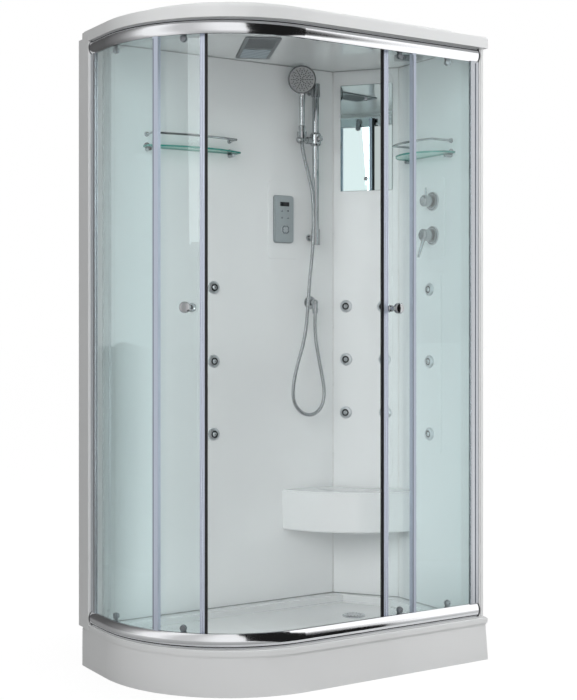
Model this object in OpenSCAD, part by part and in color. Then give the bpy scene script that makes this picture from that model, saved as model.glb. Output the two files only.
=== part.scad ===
// Shower cabin with a curved corner, two sliding glass doors and a hydromassage fitting set.
// Millimetres, +Z up. X runs along the back wall to the right, Y from the front to the back wall.
// Origin: on the floor, at the centre of the 1200 x 700 footprint.

/* [Overall] */
// length along the back wall
cabin_w = 1200; // [1200:1:1210]
// depth from the tray's front to the back of the wall panels
cabin_d = 700; // [700:1:705]
// height of the white rim of the tray, where the lower rail lies
rim_z = 144; // [140:1:146]
// clear glass between the two rails
glass_gap = 1850; // [1840:1:1856]

/* [Rails] */
// height of one rail section
rail_h = 45; // [45:1:46]
// how far the rounded face stands out
rail_bulge = 10; // [8:0.5:10]
// radius of the rails' outer line in the curve
arc_r = 460; // [458:1:460]

/* [Doors] */
// glass thickness of doors and fixed panels
glass_t = 5; // [4:0.5:5]
// free edge of the right door in the photographed, open place
right_open_x = 190; // [188:1:200]
// free edge of the left door, degrees round the curve
left_open_a = -129.4; // [-130:0.1:-128]
// width of the right door
right_door_w = 372; // [360:1:372]
// angle that the left door spans
left_door_a = 70.9; // [68:0.1:71]
// radius of a roller wheel
wheel_r = 12; // [11.5:0.1:12]
// height of the door knobs above the floor
knob_z = 1195; // [1150:1:1250]

/* [Fittings] */
// radius of a body jet's rosette
jet_r = 23; // [20:0.5:24]
// hose diameter over its ribs
hose_d = 14; // [13:0.5:14]
// ribs along the hose
hose_ribs = 190; // [120:10:190]
// radius of the hand shower's head
head_r = 51; // [46:1:52]
// radius of the riser tube
riser_r = 12.5; // [11:0.5:13]
// top of the corner seat
seat_z = 533; // [480:1:560]

/* [Hidden] */
$fn = 72;
e = 0.01;
left_x = -588;
right_x = 577;
front_y = -320;
wall_y = 330;
wall_x = 582;
arc_x = left_x + arc_r;
arc_y = front_y + arc_r;
glass_z0 = rim_z + rail_h;
glass_z1 = glass_z0 + glass_gap;
roof_z = glass_z1 + rail_h;
ledge_z = rim_z - 15;
ceil_z = roof_z + 14;
wall_h = ceil_z - ledge_z;
x0 = -cabin_w / 2;
x1 = cabin_w / 2;
y0 = -cabin_d / 2;
y1 = cabin_d / 2;
// corner panel: from (424, 330) on the back wall to (582, 131) on the right wall
cham_x = 424;
cham_y = 131;
cham_len = sqrt(pow(wall_x - cham_x, 2) + pow(wall_y - cham_y, 2));
cham_a = atan2(cham_y - wall_y, wall_x - cham_x);
// offsets inwards from the rails' outer line
fix_u = 2;
door_u = 24;
fin_u = 18;
wheel_low = rim_z + 21.3;
wheel_high = roof_z - 21.3;
drain_x = 343;
drain_y = 79;

// placing helpers: each puts its child's +Z out of a wall, into the cabin
module on_back(x, z) translate([x, wall_y, z]) rotate([90, 0, 0]) children();
module on_right(y, z) translate([wall_x, y, z]) rotate([90, 0, -90]) children();
module on_corner(s, z) translate([cham_x, wall_y, z]) rotate([90, 0, cham_a]) translate([s, 0, 0]) children();
// a child drawn looking inwards at the curve's angle a, its +Z outwards from the cabin at offset u
module on_arc(a, u, z)
  translate([arc_x, arc_y, z]) rotate([0, 0, a]) translate([arc_r - u, 0, 0]) rotate([90, 0, 90]) children();
module on_front(x, u, z) translate([x, front_y + u, z]) rotate([90, 0, 0]) children();

// sector of the curve between two offsets and two angles
module sector(ua, ub, a0, a1, za, zb)
  translate([arc_x, arc_y, za]) rotate([0, 0, a0]) rotate_extrude(angle = a1 - a0, $fn = 360)
    translate([arc_r - ub, 0]) square([ub - ua, zb - za]);

// floor shape inside the rails' line moved in by u, open to the two walls
module plan(u, rx = right_x, ry = wall_y) {
  translate([arc_x, arc_y]) intersection() {
    circle(r = arc_r - u, $fn = 180);
    translate([-arc_r, -arc_r]) square(arc_r + e);
  }
  translate([arc_x, front_y + u]) square([rx - arc_x, ry - front_y - u]);
  translate([left_x + u, arc_y]) square([arc_x - left_x - u + e, ry - arc_y]);
}

// outline of tray and roof: rounded front-left curve and a small rounded back-left corner
skin_r = 478;
module skin(g = 0) {
  translate([x0 + skin_r, y0 + skin_r]) intersection() {
    circle(r = skin_r - g, $fn = 180);
    translate([-skin_r, -skin_r]) square(skin_r + e);
  }
  translate([x0 + skin_r, y0 + g]) square([x1 - g - x0 - skin_r, y1 - y0 - 2 * g]);
  translate([x0 + g, y0 + skin_r]) square([skin_r - g + e, y1 - g - y0 - skin_r - 40]);
  translate([x0 + g + 40, y1 - g - 50]) square([skin_r - 20, 50]);
  translate([x0 + g + 40, y1 - g - 40]) circle(r = 40);
}
// the tray's skirt from z = 0 to h, leaning in by lean towards the top
module skirt(h, lean) {
  intersection() {
    union() {
      translate([x0 + skin_r, y0 + skin_r, 0]) cylinder(h = h, r1 = skin_r, r2 = skin_r - lean, $fn = 180);
      translate([x0 + skin_r, y0, 0]) cube([cabin_w - skin_r, cabin_d, h]);
      translate([x0, y0 + skin_r, 0]) cube([cabin_w, cabin_d - skin_r, h]);
    }
    translate([x0, 0, 0]) rotate([90, 0, 90]) linear_extrude(cabin_w)
      polygon([[y0, 0], [y1, 0], [y1, h], [y0 + lean, h]]);
    translate([0, y1, 0]) rotate([90, 0, 0]) linear_extrude(cabin_d)
      polygon([[x0, 0], [x1, 0], [x1 - lean, h], [x0 + lean, h]]);
    linear_extrude(h) skin();
  }
}

// rounded rectangle from exact circles and squares
module rr(w, h, r) {
  for (i = [-1, 1], j = [-1, 1]) translate([i * (w / 2 - r), j * (h / 2 - r)]) circle(r = r);
  square([w, h - 2 * r], center = true);
  square([w - 2 * r, h], center = true);
}

// tray
module basin_2d(g) intersection() {
  plan(70 + g);
  union() {
    translate([-600, -400]) square([1130 - g, 620]);
    translate([-600, -400]) square([1070 - g, 680 - g]);
    translate([470 - g, 220 - g]) circle(r = 60);
  }
  polygon([[-700, -500], [700, -500], [700, -120], [430 - g, 290 - g], [-500 + g, 290 - g],
    [-530 + g, 240], [-700, 240]]);
}
module shower_tray() color("white") difference() {
  union() {
    skirt(rim_z - 24, 6);
    translate([0, 0, rim_z - 24 - e]) linear_extrude(6) skin(4);
    translate([0, 0, rim_z - 19]) linear_extrude(16) skin(1);
    translate([0, 0, rim_z - 3 - e]) linear_extrude(3 + e) skin(3.5);
  }
  // ledge for the wall panels, one step below the rim
  translate([0, 0, ledge_z]) linear_extrude(40) plan(44, x1 + 5, y1 + 5);
  translate([right_x - 1, front_y - 7, ledge_z]) cube([40, 400, 40]);
  translate([x0 - 1, 269, ledge_z]) cube([100, 100, 40]);
  // basin with a floor that falls to the drain
  translate([0, 0, 106]) linear_extrude(60) basin_2d(0);
  intersection() {
    translate([drain_x, drain_y, 98]) cylinder(h = 8 + e, r1 = 70, r2 = 420);
    linear_extrude(200) basin_2d(6);
  }
  translate([drain_x, drain_y, -1]) cylinder(h = 200, r = 41.5);
  // hollow underside, left open for the trap, with a cross rib each way
  difference() {
    translate([0, 0, -1]) linear_extrude(93) skin(11);
    for (x = [-330, -20]) translate([x, y0, 20]) cube([6, cabin_d, 100]);
    translate([x0, 150, 20]) cube([cabin_w, 6, 100]);
    for (p = feet) translate([p[0], p[1], 30]) cylinder(h = 70, r = 16);
  }
  // way out at the back for the waste pipe, also through the cross rib
  translate([-420, y1 - 20, -1]) cube([900, 30, 86]);
  translate([drain_x, 120, 58]) rotate([-90, 0, 0]) cylinder(h = 80, r = 21);
}
feet = [[-460, 240], [-180, -250], [180, 280], [520, 280], [520, -270], [-480, -20], [150, -270]];
module tray_feet() color("dimgray") for (p = feet) translate([p[0], p[1], 0]) {
  cylinder(h = 5, r = 24);
  translate([0, 0, 5 - e]) cylinder(h = 6, r1 = 20, r2 = 9);
  translate([0, 0, 10]) cylinder(h = 20, r = 6);
  translate([0, 0, 22]) cylinder(h = 8, r = 11, $fn = 6);
}
module drain_trap() color("gainsboro") difference() {
  union() {
    // flange in the tray hole, cup below it and the outlet to the back
    translate([drain_x, drain_y, 92.5]) cylinder(h = 5.5, r = 41.4);
    translate([drain_x, drain_y, 30]) cylinder(h = 63, r = 36);
    translate([drain_x, drain_y, 58]) rotate([-90, 0, 0]) cylinder(h = 200, r = 20);
    translate([drain_x, drain_y + 40, 58]) rotate([-90, 0, 0]) cylinder(h = 22, r = 26, $fn = 10);
  }
  translate([drain_x, drain_y, 34]) cylinder(h = 70, r = 32);
  translate([drain_x, drain_y + 20, 58]) rotate([-90, 0, 0]) cylinder(h = 190, r = 17);
}
module drain_cover() color("silver") translate([drain_x, drain_y, 98]) difference() {
  union() {
    cylinder(h = 3, r = 41);
    translate([0, 0, 3 - e]) cylinder(h = 2.5, r1 = 38, r2 = 31);
    translate([0, 0, -12]) difference() {
      cylinder(h = 12 + e, r = 31.5);
      translate([0, 0, -e]) cylinder(h = 12, r = 29.5);
    }
  }
  for (i = [0:11]) rotate([0, 0, 30 * i]) translate([20, -1.5, -1]) cube([8, 3, 8]);
}

// wall panels: thin moulded skins with turned edges, open behind
module shell_panel(w, h, t = 4, deep = 18) {
  cube([w, h, t]);
  translate([0, 0, -deep + t]) {
    cube([w, 5, deep]);
    translate([0, h - 5, 0]) cube([w, 5, deep]);
    cube([5, h, deep]);
    translate([w - 5, 0, 0]) cube([5, h, deep]);
    for (z = [h * 0.25, h * 0.5, h * 0.75]) translate([0, z, 0]) cube([w, 4, deep]);
  }
}
module pad(w, h, r = 14, t = 3) {
  linear_extrude(t * 0.5) rr(w, h, r);
  linear_extrude(t) rr(w - 4, h - 4, r - 2);
}
jets_back = [[-93, 1274], [-93, 1011], [-93, 751]];
jets_corner = [[53, 1211], [53, 1011], [52, 811], [197, 1209], [202, 1012], [205, 814]];
jets_right = [[-55, 1268], [-55, 1009], [-55, 749]];
module back_wall_panel() color("white") difference() {
  union() {
    translate([x0 + 4, wall_y + 4, ledge_z]) rotate([90, 0, 0]) shell_panel(cham_x - x0 - 4, wall_h, 4, 20);
    // left return that carries the wall profile
    translate([x0, 270, ledge_z]) cube([5, y1 - 270 - 2, wall_h]);
    translate([x0, 270, ledge_z]) cube([30, 5, wall_h]);
    on_back(-93, 1111) pad(130, 847);
    on_back(202, 1527) pad(134, 286);
  }
  for (j = jets_back) on_back(j[0], j[1]) translate([0, 0, -30]) cylinder(h = 50, r = 14);
  on_back(198, 1530) translate([0, 0, -30]) cylinder(h = 50, r = 12);
  on_back(318, 1224) translate([0, 0, -30]) cylinder(h = 50, r = 12);
}
module corner_panel() color("white") difference() {
  union() {
    on_corner(0, ledge_z) translate([0, 0, -4]) shell_panel(cham_len, wall_h, 4, 16);
    on_corner(cham_len / 2, 1326) pad(210, 1530, 40);
  }
  for (j = jets_corner) on_corner(j[0], j[1]) translate([0, 0, -30]) cylinder(h = 50, r = 14);
}
module right_wall_panel() color("white") difference() {
  union() {
    translate([wall_x, cham_y, ledge_z]) rotate([90, 0, -90]) translate([0, 0, -4])
      shell_panel(cham_y + 312, wall_h, 4, 18);
    // rounded front column with its groove, outside the rail ends
    translate([right_x + 6, front_y - 5, ledge_z]) cube([x1 - right_x - 6, 30, wall_h]);
    on_right(-55, 1009) pad(130, 650);
    on_right(-72, 1522) pad(130, 288);
  }
  translate([x1 - 13, front_y - 6, ledge_z - 1]) cube([3, 4, wall_h + 2]);
  for (j = jets_right) on_right(j[0], j[1]) translate([0, 0, -30]) cylinder(h = 50, r = 14);
  for (z = [1583, 1461]) on_right(-72, z) translate([0, 0, -30]) cylinder(h = 50, r = 20);
}

// roof
unit_a = -24;
unit_p = [-34, 118];
speaker_a = -36;
speaker_p = [503, -30];
module in_ceiling(p, a) translate([p[0], p[1], ceil_z]) rotate([0, 0, a]) children();
fan_c = [0, -80];
module roof_canopy() color("white") difference() {
  union() {
    translate([0, 0, roof_z]) linear_extrude(34) skin();
    translate([0, 0, roof_z + 34 - e]) linear_extrude(4) skin(4);
    translate([0, 0, roof_z + 38 - e]) linear_extrude(18) skin(82);
    translate([0, 0, roof_z + 56 - e]) linear_extrude(10) skin(88);
  }
  translate([0, 0, roof_z - 1]) linear_extrude(15) plan(14, x1 + 5, y1 + 5);
  translate([right_x - 1, front_y - 7, roof_z - 1]) cube([40, 400, 15]);
  translate([x0 - 1, 269, roof_z - 1]) cube([100, 100, 15]);
  difference() {
    union() {
      translate([0, 0, ceil_z + 4]) linear_extrude(16) skin(30);
      translate([0, 0, ceil_z + 19]) linear_extrude(29) skin(92);
    }
    // pin that carries the fan
    in_ceiling(unit_p, unit_a) translate([fan_c[0], fan_c[1], 12]) cylinder(h = 60, r = 3);
    in_ceiling(unit_p, unit_a) translate([fan_c[0], fan_c[1], 34]) cylinder(h = 40, r = 17);
  }
  in_ceiling(unit_p, unit_a) translate([0, 0, -1]) linear_extrude(6) rr(110, 326, 8);
  in_ceiling(speaker_p, speaker_a) translate([0, 0, -1]) linear_extrude(6) rr(86, 86, 8);
}
module extractor_grille() color("dimgray") in_ceiling(unit_p, unit_a) difference() {
  union() {
    translate([0, 0, -4]) linear_extrude(4) rr(122, 342, 12);
    translate([0, 0, -e]) linear_extrude(4) rr(109.4, 325.4, 8);
  }
  // slots over the fan
  for (i = [0:11]) translate([-48, -152 + 12 * i, -5]) cube([96, 6.5, 12]);
  translate([0, 82, -5]) linear_extrude(12) rr(96.6, 140.6, 6);
}
module ceiling_light_lens() color("lightyellow") in_ceiling(unit_p, unit_a) translate([0, 82, -5]) {
  linear_extrude(8) rr(96, 140, 6);
  translate([0, 0, 8 - e]) linear_extrude(3) rr(92, 136, 5);
}
module fan_impeller() color("black") in_ceiling(unit_p, unit_a) translate([fan_c[0], fan_c[1], 15]) difference() {
  union() {
    cylinder(h = 17, r = 14);
    for (i = [0:8]) rotate([0, 0, 40 * i]) translate([10, 0, 8]) rotate([28, 0, 0])
      translate([0, -1, -8]) cube([40, 2, 15]);
    difference() {
      cylinder(h = 17, r = 52);
      translate([0, 0, -1]) cylinder(h = 19, r = 49);
    }
  }
  translate([0, 0, -1]) cylinder(h = 30, r = 3.06);
}
module speaker_grille() color("dimgray") in_ceiling(speaker_p, speaker_a) difference() {
  union() {
    translate([0, 0, -4]) linear_extrude(4) rr(100, 100, 12);
    translate([0, 0, -e]) linear_extrude(4) rr(85.4, 85.4, 8);
  }
  for (i = [-4:4], j = [-4:4]) if (i * i + j * j < 18)
    translate([8.4 * i, 8.4 * j, -5]) cylinder(h = 12, r = 2.6, $fn = 12);
}

// rails: one extruded section, used upright below and turned over above
module rail_2d() difference() {
  cr = (pow(rail_h / 2, 2) + pow(rail_bulge, 2)) / (2 * rail_bulge);
  union() {
    intersection() {
      translate([cr - rail_bulge, rail_h / 2]) circle(r = cr, $fn = 180);
      translate([-20, 0]) square([20 + e, rail_h]);
    }
    square([12, rail_h]);
    translate([12 - e, 38]) square([7, 3]);
    translate([17, 31]) square([2, 10]);
  }
  translate([fix_u - 0.2, rail_h - 12]) square([glass_t + 0.4, 13]);
  // hollow chamber
  translate([-6, 4]) square([15, 25]);
}
module rail_run() {
  translate([arc_x, front_y, 0]) rotate([90, 0, 90]) linear_extrude(right_x - arc_x) rail_2d();
  translate([arc_x, arc_y, 0]) rotate([0, 0, 180]) rotate_extrude(angle = 90, $fn = 180)
    translate([arc_r, 0]) mirror([1, 0]) rail_2d();
  translate([left_x, 265, 0]) rotate([90, 0, 0]) linear_extrude(265 - arc_y) rail_2d();
}
module bottom_rail() color("silver") translate([0, 0, rim_z]) rail_run();
module top_rail() color("silver") translate([0, 0, roof_z]) mirror([0, 0, 1]) rail_run();
module cap_2d() {
  cr = (pow(rail_h / 2, 2) + pow(rail_bulge, 2)) / (2 * rail_bulge);
  intersection() {
    translate([cr - rail_bulge - 1, rail_h / 2]) circle(r = cr, $fn = 180);
    translate([-20, 0]) square([21, rail_h]);
  }
  square([19, rail_h]);
}
module rail_end_caps() color("black") for (z = [rim_z, glass_z1]) translate([0, 0, z]) {
  translate([right_x, front_y, 0]) rotate([90, 0, 90]) linear_extrude(5) cap_2d();
  translate([left_x, 270, 0]) rotate([90, 0, 0]) linear_extrude(5) cap_2d();
}
module wall_profiles() color("silver") {
  // right: on the right wall, holding the flat fixed glass
  difference() {
    translate([548, front_y - 3, glass_z0]) cube([right_x + 5 - 548, 14, glass_gap]);
    translate([547, front_y + fix_u - 0.2, glass_z0 - 1]) cube([20, glass_t + 0.4, glass_gap + 2]);
    translate([570, front_y - e, glass_z0 - 1]) cube([8, 8, glass_gap + 2]);
  }
  // left: on the back panel's return, holding the curved fixed glass
  difference() {
    translate([left_x - 3, 238, glass_z0]) cube([14, 32, glass_gap]);
    translate([left_x + fix_u - 0.2, 237, glass_z0 - 1]) cube([glass_t + 0.4, 20, glass_gap + 2]);
    translate([left_x, 260, glass_z0 - 1]) cube([8, 7, glass_gap + 2]);
  }
}

// fixed glass
fix_z0 = glass_z0 - 11.5;
fix_h = glass_gap + 23;
fix_a = -151.5;
module left_fixed_glass() color("lightcyan", 0.5) {
  sector(fix_u, fix_u + glass_t, -180, fix_a, fix_z0, fix_z0 + fix_h);
  translate([left_x + fix_u, arc_y - e, fix_z0]) cube([glass_t, 255 - arc_y, fix_h]);
}
module right_fixed_glass() color("lightcyan", 0.5)
  translate([303, front_y + fix_u, fix_z0]) cube([565 - 303, glass_t, fix_h]);
module fixed_glass_strips() color("lightsteelblue") {
  difference() {
    union() {
      translate([299, front_y - 1, glass_z0]) cube([15, 11, glass_gap]);
      translate([299, front_y + 9, glass_z0]) cube([3, 7, glass_gap]);
    }
    translate([303, front_y + fix_u, glass_z0 - 1]) cube([20, glass_t, glass_gap + 2]);
  }
  difference() {
    union() {
      sector(-1, 10, -151.9, -149.5, glass_z0, glass_z1);
      sector(9, 16, -149.9, -149.5, glass_z0, glass_z1);
    }
    sector(fix_u, fix_u + glass_t, -153, fix_a, glass_z0 - 1, glass_z1 + 1);
  }
}

// corner seat: a hollow shell with a bowed front, open below, fixed to the three panels
seat_x = 197;
seat_y = 35;
module seat_2d(g) intersection() {
  polygon([[seat_x, wall_y], [cham_x + 4, wall_y], [wall_x, cham_y + 4], [wall_x, seat_y],
    [200, seat_y - 300], [100, seat_y]]);
  translate([seat_c[0], seat_c[1]]) circle(r = seat_r - g, $fn = 180);
}
// circle through (197, 330) and (582, 35) that bows 78 towards the door
seat_r = 416;
seat_ch = [(seat_x + wall_x) / 2, (wall_y + seat_y) / 2];
seat_n = [0.608, 0.794];
seat_c = [seat_ch[0] + seat_n[0] * (seat_r - 78), seat_ch[1] + seat_n[1] * (seat_r - 78)];
module corner_seat() color("white") intersection() {
  difference() {
    union() {
      translate([0, 0, seat_z - 4]) linear_extrude(4) seat_2d(5);
      translate([0, 0, seat_z - 10]) linear_extrude(6 + e) seat_2d(1);
      translate([seat_c[0], seat_c[1], seat_z - 141]) cylinder(h = 131 + e, r1 = seat_r - 3, r2 = seat_r, $fn = 180);
      translate([seat_c[0], seat_c[1], seat_z - 146]) cylinder(h = 5 + e, r1 = seat_r - 7, r2 = seat_r - 3, $fn = 180);
    }
    // shallow dished top and hollow inside
    translate([seat_ch[0] + 60, seat_ch[1] + 60, seat_z + 1494]) sphere(r = 1500, $fn = 240);
    translate([seat_c[0], seat_c[1], seat_z - 150]) cylinder(h = 134, r = seat_r - 13, $fn = 180);
  }
  linear_extrude(1000) intersection() {
    polygon([[seat_x - 2, wall_y], [cham_x - 2, wall_y], [wall_x, cham_y - 10], [wall_x, -200], [100, -200],
      [100, 200]]);
    polygon(corner_clear);
  }
}
// keeps the seat in front of the corner panel's raised field
off = 3.2;
corner_clear = [[-300, -600], [wall_x + 1, -600], [wall_x + 1, cham_y - off / cos(cham_a) - 1.3],
  [cham_x + off / sin(cham_a) - 1, wall_y + 1], [-300, wall_y + 1]];

// mirror and shelves
module wall_mirror() color("lightblue") on_corner(132, 1842) {
  translate([0, 0, 3]) linear_extrude(5) rr(198, 396, 2);
  for (z = [145, -154]) translate([0, z, 8 - e]) cylinder(h = 3, r1 = 7, r2 = 5);
}
// glass of length l and depth d whose ends stand straight for the share q of the depth
module shelf_2d(l, d, q) intersection() {
  bow = (1 - q) * d;
  r = (l * l / 4 + bow * bow) / (2 * bow);
  translate([0, d - r]) circle(r = r, $fn = 180);
  translate([-l / 2, 0]) square([l, d]);
}
left_shelf = [370, 78, 0.45];
right_shelf = [270, 118, 0.35];
module left_shelf_place() translate([-185, wall_y, 1754.5]) rotate([0, 0, 180]) children();
module right_shelf_place() translate([wall_x, -60, 1743]) rotate([0, 0, 90]) children();
module shelf_plate(s, g = 0) translate([0, 1, -g]) linear_extrude(6 + 2 * g) shelf_2d(s[0], s[1], s[2]);
module shelf_glasses() color("lightcyan", 0.6) {
  left_shelf_place() shelf_plate(left_shelf);
  right_shelf_place() shelf_plate(right_shelf);
}
// gallery rail: a rod bent out from two wall sockets, w wide and d deep, its front bowed
module shelf_rail(w, d, bow, t = 4) {
  r = (w * w / 4 + bow * bow) / (2 * bow);
  a = asin(w / 2 / r);
  translate([0, d - r, 46]) rotate([0, 0, 90 - a]) rotate_extrude(angle = 2 * a, $fn = 360)
    translate([r, 0]) circle(r = t, $fn = 24);
  for (s = [-1, 1]) translate([s * w / 2, 0, 0]) {
    translate([0, d - bow, 46]) sphere(r = t + 0.3, $fn = 24);
    translate([0, 0, 46]) rotate([-90, 0, 0]) cylinder(h = d - bow, r = t);
    translate([0, 0, 46]) rotate([-90, 0, 0]) cylinder(h = 9, r1 = 9, r2 = 6.5);
    // clamp that holds the glass from below
    translate([0, 0, -7]) rotate([-90, 0, 0]) cylinder(h = 30, r = 7);
    translate([0, 0, 6]) rotate([-90, 0, 0]) cylinder(h = 4, r = 11);
    translate([0, 22, -7]) cylinder(h = 7, r = 5);
  }
}
module shelf_rails() color("silver") {
  left_shelf_place() difference() {
    translate([6.5, 0, 0]) shelf_rail(329, 69, 19);
    shelf_plate(left_shelf, e);
  }
  right_shelf_place() difference() {
    translate([-1.5, 0, 0]) shelf_rail(223, 107, 22);
    shelf_plate(right_shelf, e);
  }
}

// riser rail, slider, holder and hand shower
riser_p = [316, 286];
module riser_rail() color("silver") translate([riser_p[0], riser_p[1], 1437]) cylinder(h = 596, r = riser_r);
// centre height and half height of each bracket's sleeve
sleeves = [[1466, 29], [2010, 24]];
module riser_brackets() color("silver") for (b = sleeves) translate([0, 0, b[0]]) difference() {
  union() {
    translate([riser_p[0], riser_p[1], -b[1]]) cylinder(h = 2 * b[1], r = riser_r + 4);
    translate([riser_p[0], wall_y, 0]) rotate([90, 0, 0]) cylinder(h = wall_y - riser_p[1], r = 7);
    translate([riser_p[0], wall_y, 0]) rotate([90, 0, 0]) cylinder(h = 6, r1 = 13, r2 = 11);
  }
  translate([riser_p[0], riser_p[1], -60]) cylinder(h = 120, r = riser_r);
}
// slider: a barrel on the riser with a clamp knob in front, and an arm with the holder's pivot at its left
pivot_y = 285.7;
pivot_z = 1822;
slide_z = 1828;
module riser_slider() color("gray") difference() {
  union() {
    translate([riser_p[0], riser_p[1], slide_z - 17]) cylinder(h = 34, r = 21);
    translate([riser_p[0], riser_p[1], slide_z - 24]) cylinder(h = 7 + e, r1 = 16.5, r2 = 21);
    translate([riser_p[0], riser_p[1], slide_z + 17 - e]) cylinder(h = 7, r1 = 21, r2 = 16.5);
    // boss of the clamp screw, and the arm that carries the holder
    translate([riser_p[0], riser_p[1] - 10, slide_z]) rotate([90, 0, 0]) cylinder(h = 14, r = 10);
    translate([riser_p[0] - 2, pivot_y, pivot_z]) rotate([0, -90, 0]) cylinder(h = 38, r = 13);
  }
  translate([riser_p[0], riser_p[1], slide_z - 50]) cylinder(h = 100, r = riser_r + 0.08);
  translate([riser_p[0], riser_p[1] - 12, slide_z]) rotate([90, 0, 0]) cylinder(h = 30, r = 4.06);
  translate([riser_p[0] - 20, pivot_y, pivot_z]) rotate([0, -90, 0]) cylinder(h = 30, r = 4.06);
}
module slider_clamp_knob() color("silver")
  translate([riser_p[0], riser_p[1] - riser_r - 0.5, slide_z]) rotate([90, 0, 0]) {
    cylinder(h = 12, r = 4);
    translate([0, 0, 11.5]) difference() {
      union() {
        cylinder(h = 9, r = 11);
        translate([0, 0, 9 - e]) cylinder(h = 2.5, r1 = 11, r2 = 8);
      }
      for (i = [0:11]) rotate([0, 0, 30 * i]) translate([12.2, 0, -1]) cylinder(h = 20, r = 2, $fn = 16);
    }
  }
// frame of the hand shower: handle along +Z, leaning out and facing the door
hand_p = [255, 285, 1832];
module in_hand() translate(hand_p) rotate([0, 0, -32]) rotate([5, 0, 0]) children();
module handset_holder() color("gray") difference() {
  union() {
    in_hand() translate([0, 0, -15]) cylinder(h = 35, r1 = 16, r2 = 17.5);
    // pivot boss and pin towards the riser, and the round end with its screw cap
    translate([riser_p[0] - 40.5, pivot_y, pivot_z]) rotate([0, -90, 0]) cylinder(h = 13, r = 11);
    translate([riser_p[0] - 26, pivot_y, pivot_z]) rotate([0, -90, 0]) cylinder(h = 20, r = 4);
    translate([247.5, pivot_y, pivot_z]) sphere(r = 14.5);
    translate([247.5, pivot_y - 13, pivot_z]) rotate([90, 0, 0]) cylinder(h = 4, r1 = 7, r2 = 5);
  }
  in_hand() translate([0, 0, 4]) cylinder(h = 36, r1 = 10.6, r2 = 13.2);
  in_hand() translate([0, 0, -30]) cylinder(h = 34 + e, r = 12.4);
  // slot that the hose comes out through
  in_hand() translate([-8, 0, -30]) cube([16, 30, 70]);
}
module head_place() translate([0, -4, 210]) rotate([90 + 9, 0, 0]) children();
module hand_shower() color("silver") in_hand() difference() {
  union() {
    // hose nut, cone that seats in the holder, handle, neck and head shell
    translate([0, 0, -13]) cylinder(h = 13, r1 = 9.9, r2 = 10.4);
    translate([0, 0, -e]) cylinder(h = 4 + 2 * e, r = 9.5);
    translate([0, 0, 4]) cylinder(h = 36, r1 = 10.5, r2 = 13.1);
    translate([0, 0, 40 - e]) cylinder(h = 3, r1 = 13.1, r2 = 11);
    translate([0, 0, 42]) cylinder(h = 68 + e, r = 10.4);
    translate([0, 0, 110]) cylinder(h = 50, r1 = 10.4, r2 = 12);
    translate([0, 4, 148]) rotate([8, 0, 0]) cylinder(h = 36, r1 = 11, r2 = 15);
    head_place() rotate_extrude($fn = 96) polygon([[0, -13], [17, -12], [32, -8], [44, -1], [head_r - 1, 6],
      [head_r, 9], [head_r, 14], [head_r - 2, 15], [head_r - 5, 15], [head_r - 5, 10], [0, 10]]);
  }
  head_place() translate([0, 0, 10]) cylinder(h = 20, r = head_r - 5);
  head_place() translate([0, 0, 15]) cylinder(h = 20, r = head_r + 5);
  translate([0, 0, -14]) cylinder(h = 5, r = 8.2);
}
module spray_plate() color("gray") in_hand() head_place() {
  translate([0, 0, 10]) cylinder(h = 4, r = head_r - 5.2);
  for (k = [1:3], i = [0:6 * k - 1]) rotate([0, 0, 360 / (6 * k) * i]) translate([13 * k, 0, 14 - e])
    cylinder(h = 1.4, r1 = 1.7, r2 = 1.2, $fn = 12);
}

// wall elbow, and the hose from its outlet up to the handset
elbow_p = [318, 292];
module wall_elbow() color("silver") difference() {
  union() {
    on_back(elbow_p[0], 1224) {
      cylinder(h = 5, r = 24);
      translate([0, 0, 5 - e]) cylinder(h = 3, r1 = 24, r2 = 19);
      cylinder(h = wall_y - elbow_p[1], r = 11);
      translate([0, 0, -18]) cylinder(h = 20, r = 10);
    }
    translate([elbow_p[0], elbow_p[1], 1224]) sphere(r = 11);
    translate([elbow_p[0], elbow_p[1], 1200]) cylinder(h = 24, r = 10);
    translate([elbow_p[0], elbow_p[1], 1182]) cylinder(h = 20, r1 = 9.5, r2 = 12, $fn = 24);
  }
  translate([elbow_p[0], elbow_p[1], 1180]) cylinder(h = 42, r = 7.3);
  on_back(elbow_p[0], 1224) translate([0, 0, -30]) cylinder(h = 60, r = 6);
}
// route of the hose, from inside the elbow's nut to inside the handset's nut
hose_pts = [[318, 292, 1189], [318, 292, 1170], [316, 290, 1140], [318, 286, 1080], [329, 282, 1010],
  [340, 278, 950], [346, 275, 905], [343, 272, 868], [330, 269, 838], [308, 267, 818], [280, 265, 810],
  [249, 264, 816], [222, 263, 836], [205, 262, 866], [202, 261, 904], [208, 260, 949], [222, 259, 1003],
  [240, 258, 1060], [254, 258, 1120], [262, 259, 1180], [268, 260, 1240], [274, 261, 1310], [282, 262, 1370],
  [288, 262, 1430], [291, 262, 1490], [291, 262, 1545], [289.5, 263, 1595], [284, 264, 1642],
  [273, 268, 1693], [262, 275, 1745], [256.5, 282, 1786], [255.3, 285, 1808], [255.46, 285.74, 1822]];
// smooth curve through the route: a Catmull-Rom span between each pair of points
np = len(hose_pts);
function hp(i) = hose_pts[max(0, min(np - 1, i))];
function cr(i, t) = 0.5 * (2 * hp(i) + (hp(i + 1) - hp(i - 1)) * t
  + (2 * hp(i - 1) - 5 * hp(i) + 4 * hp(i + 1) - hp(i + 2)) * t * t
  + (3 * hp(i) - hp(i - 1) - 3 * hp(i + 1) + hp(i + 2)) * t * t * t);
sub = 6;
fine = [for (i = [0:np - 2], k = [0:sub - 1]) cr(i, k / sub), hose_pts[np - 1]];
nf = len(fine);
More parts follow.
